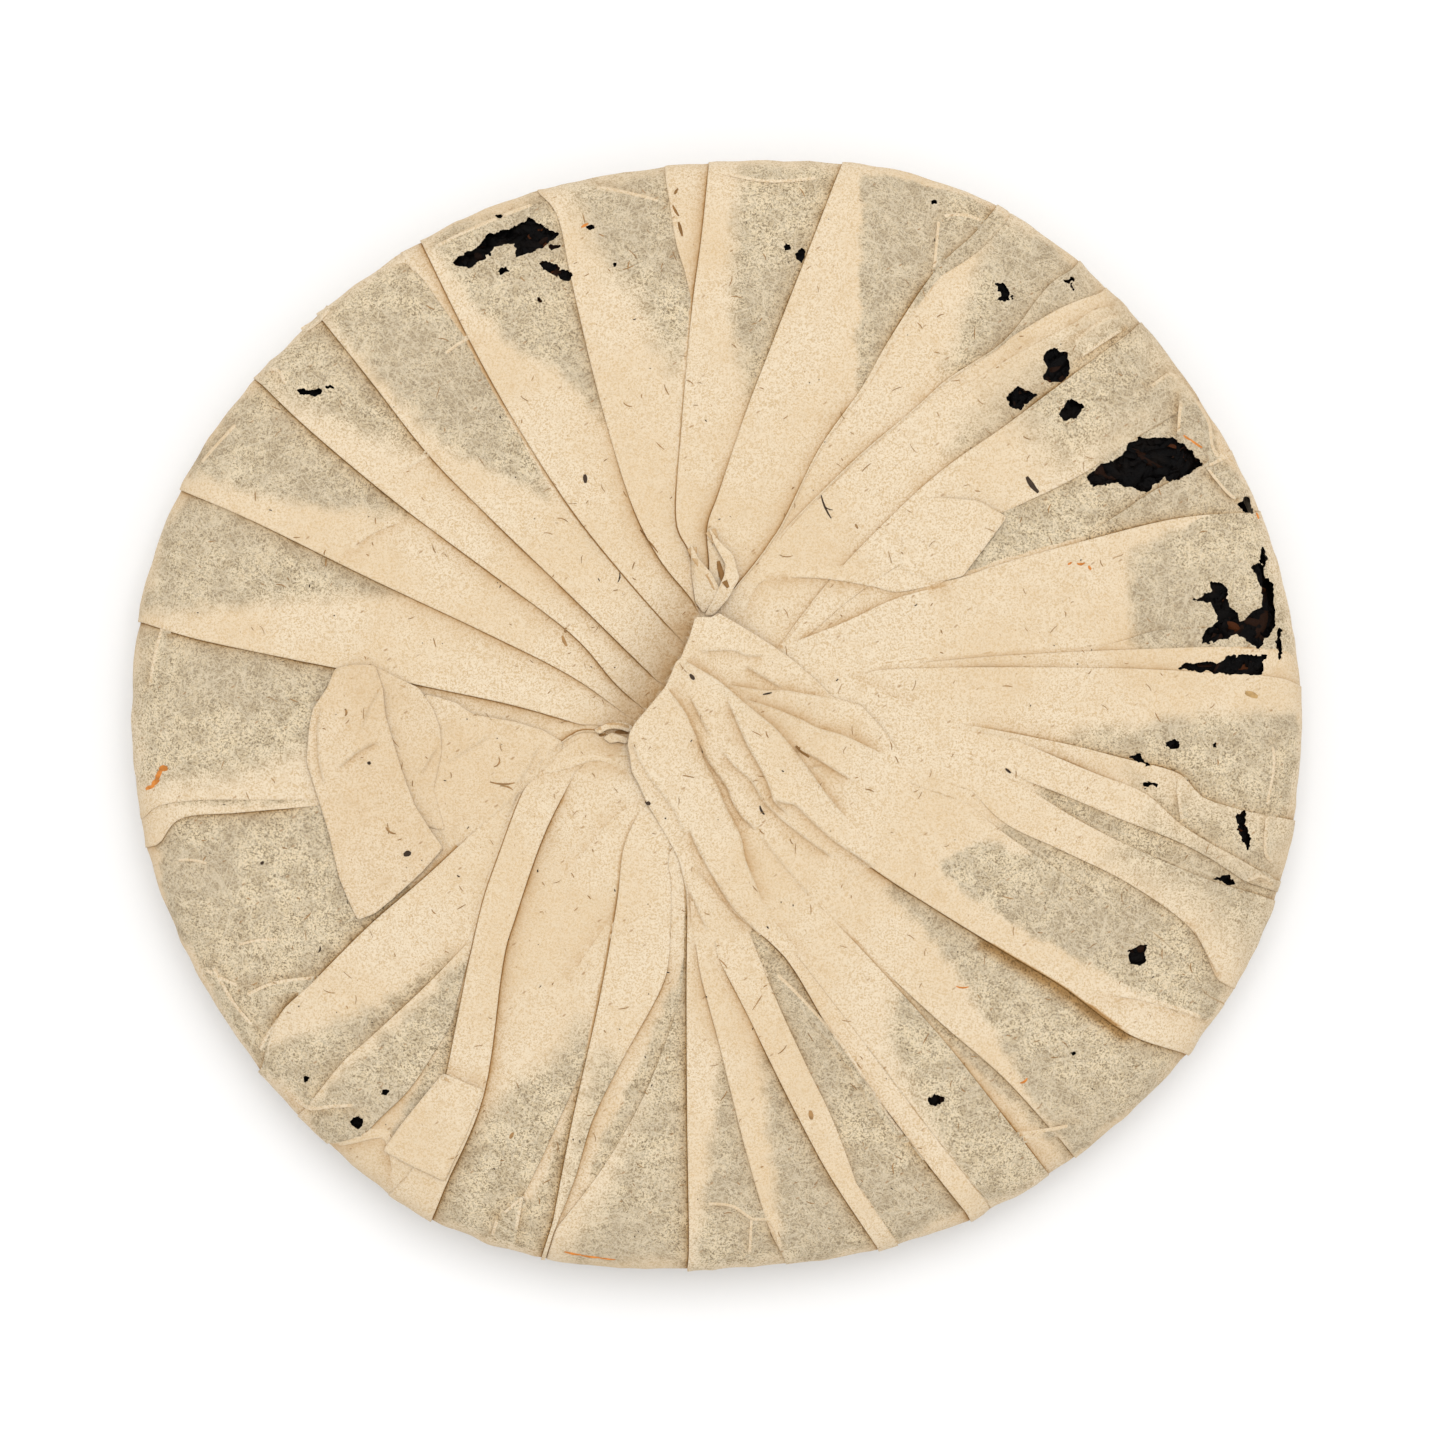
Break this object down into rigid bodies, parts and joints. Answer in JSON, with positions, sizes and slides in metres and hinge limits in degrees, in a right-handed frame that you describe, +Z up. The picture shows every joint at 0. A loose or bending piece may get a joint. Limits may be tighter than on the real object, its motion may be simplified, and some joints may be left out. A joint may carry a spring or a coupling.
{
  "type": "pu erh tea cake",
  "caption": "Round pressed cake of pu erh tea in a pleated cotton-paper wrapper, gathered and twisted at the hub, torn through in places.",
  "frame": {"origin": "on the resting surface, under the middle of the cake's outline", "axes": "+Z up through the cake, pleated side up; +X to the right and +Y away when seen from above with the loose flap on the left"},
  "size_m": [0.205, 0.1942, 0.0246],
  "materials": {
    "pressed_tea": "dark compressed tea leaf, rough, with a faint dry gloss",
    "cotton_paper": "thin hand-made cream cotton paper, matt, fibrous, half see-through where single"
  },
  "bodies": {
    "root": {"tea_cake": "pressed_tea", "paper_wrapper": "cotton_paper"}
  },
  "joints": []
}
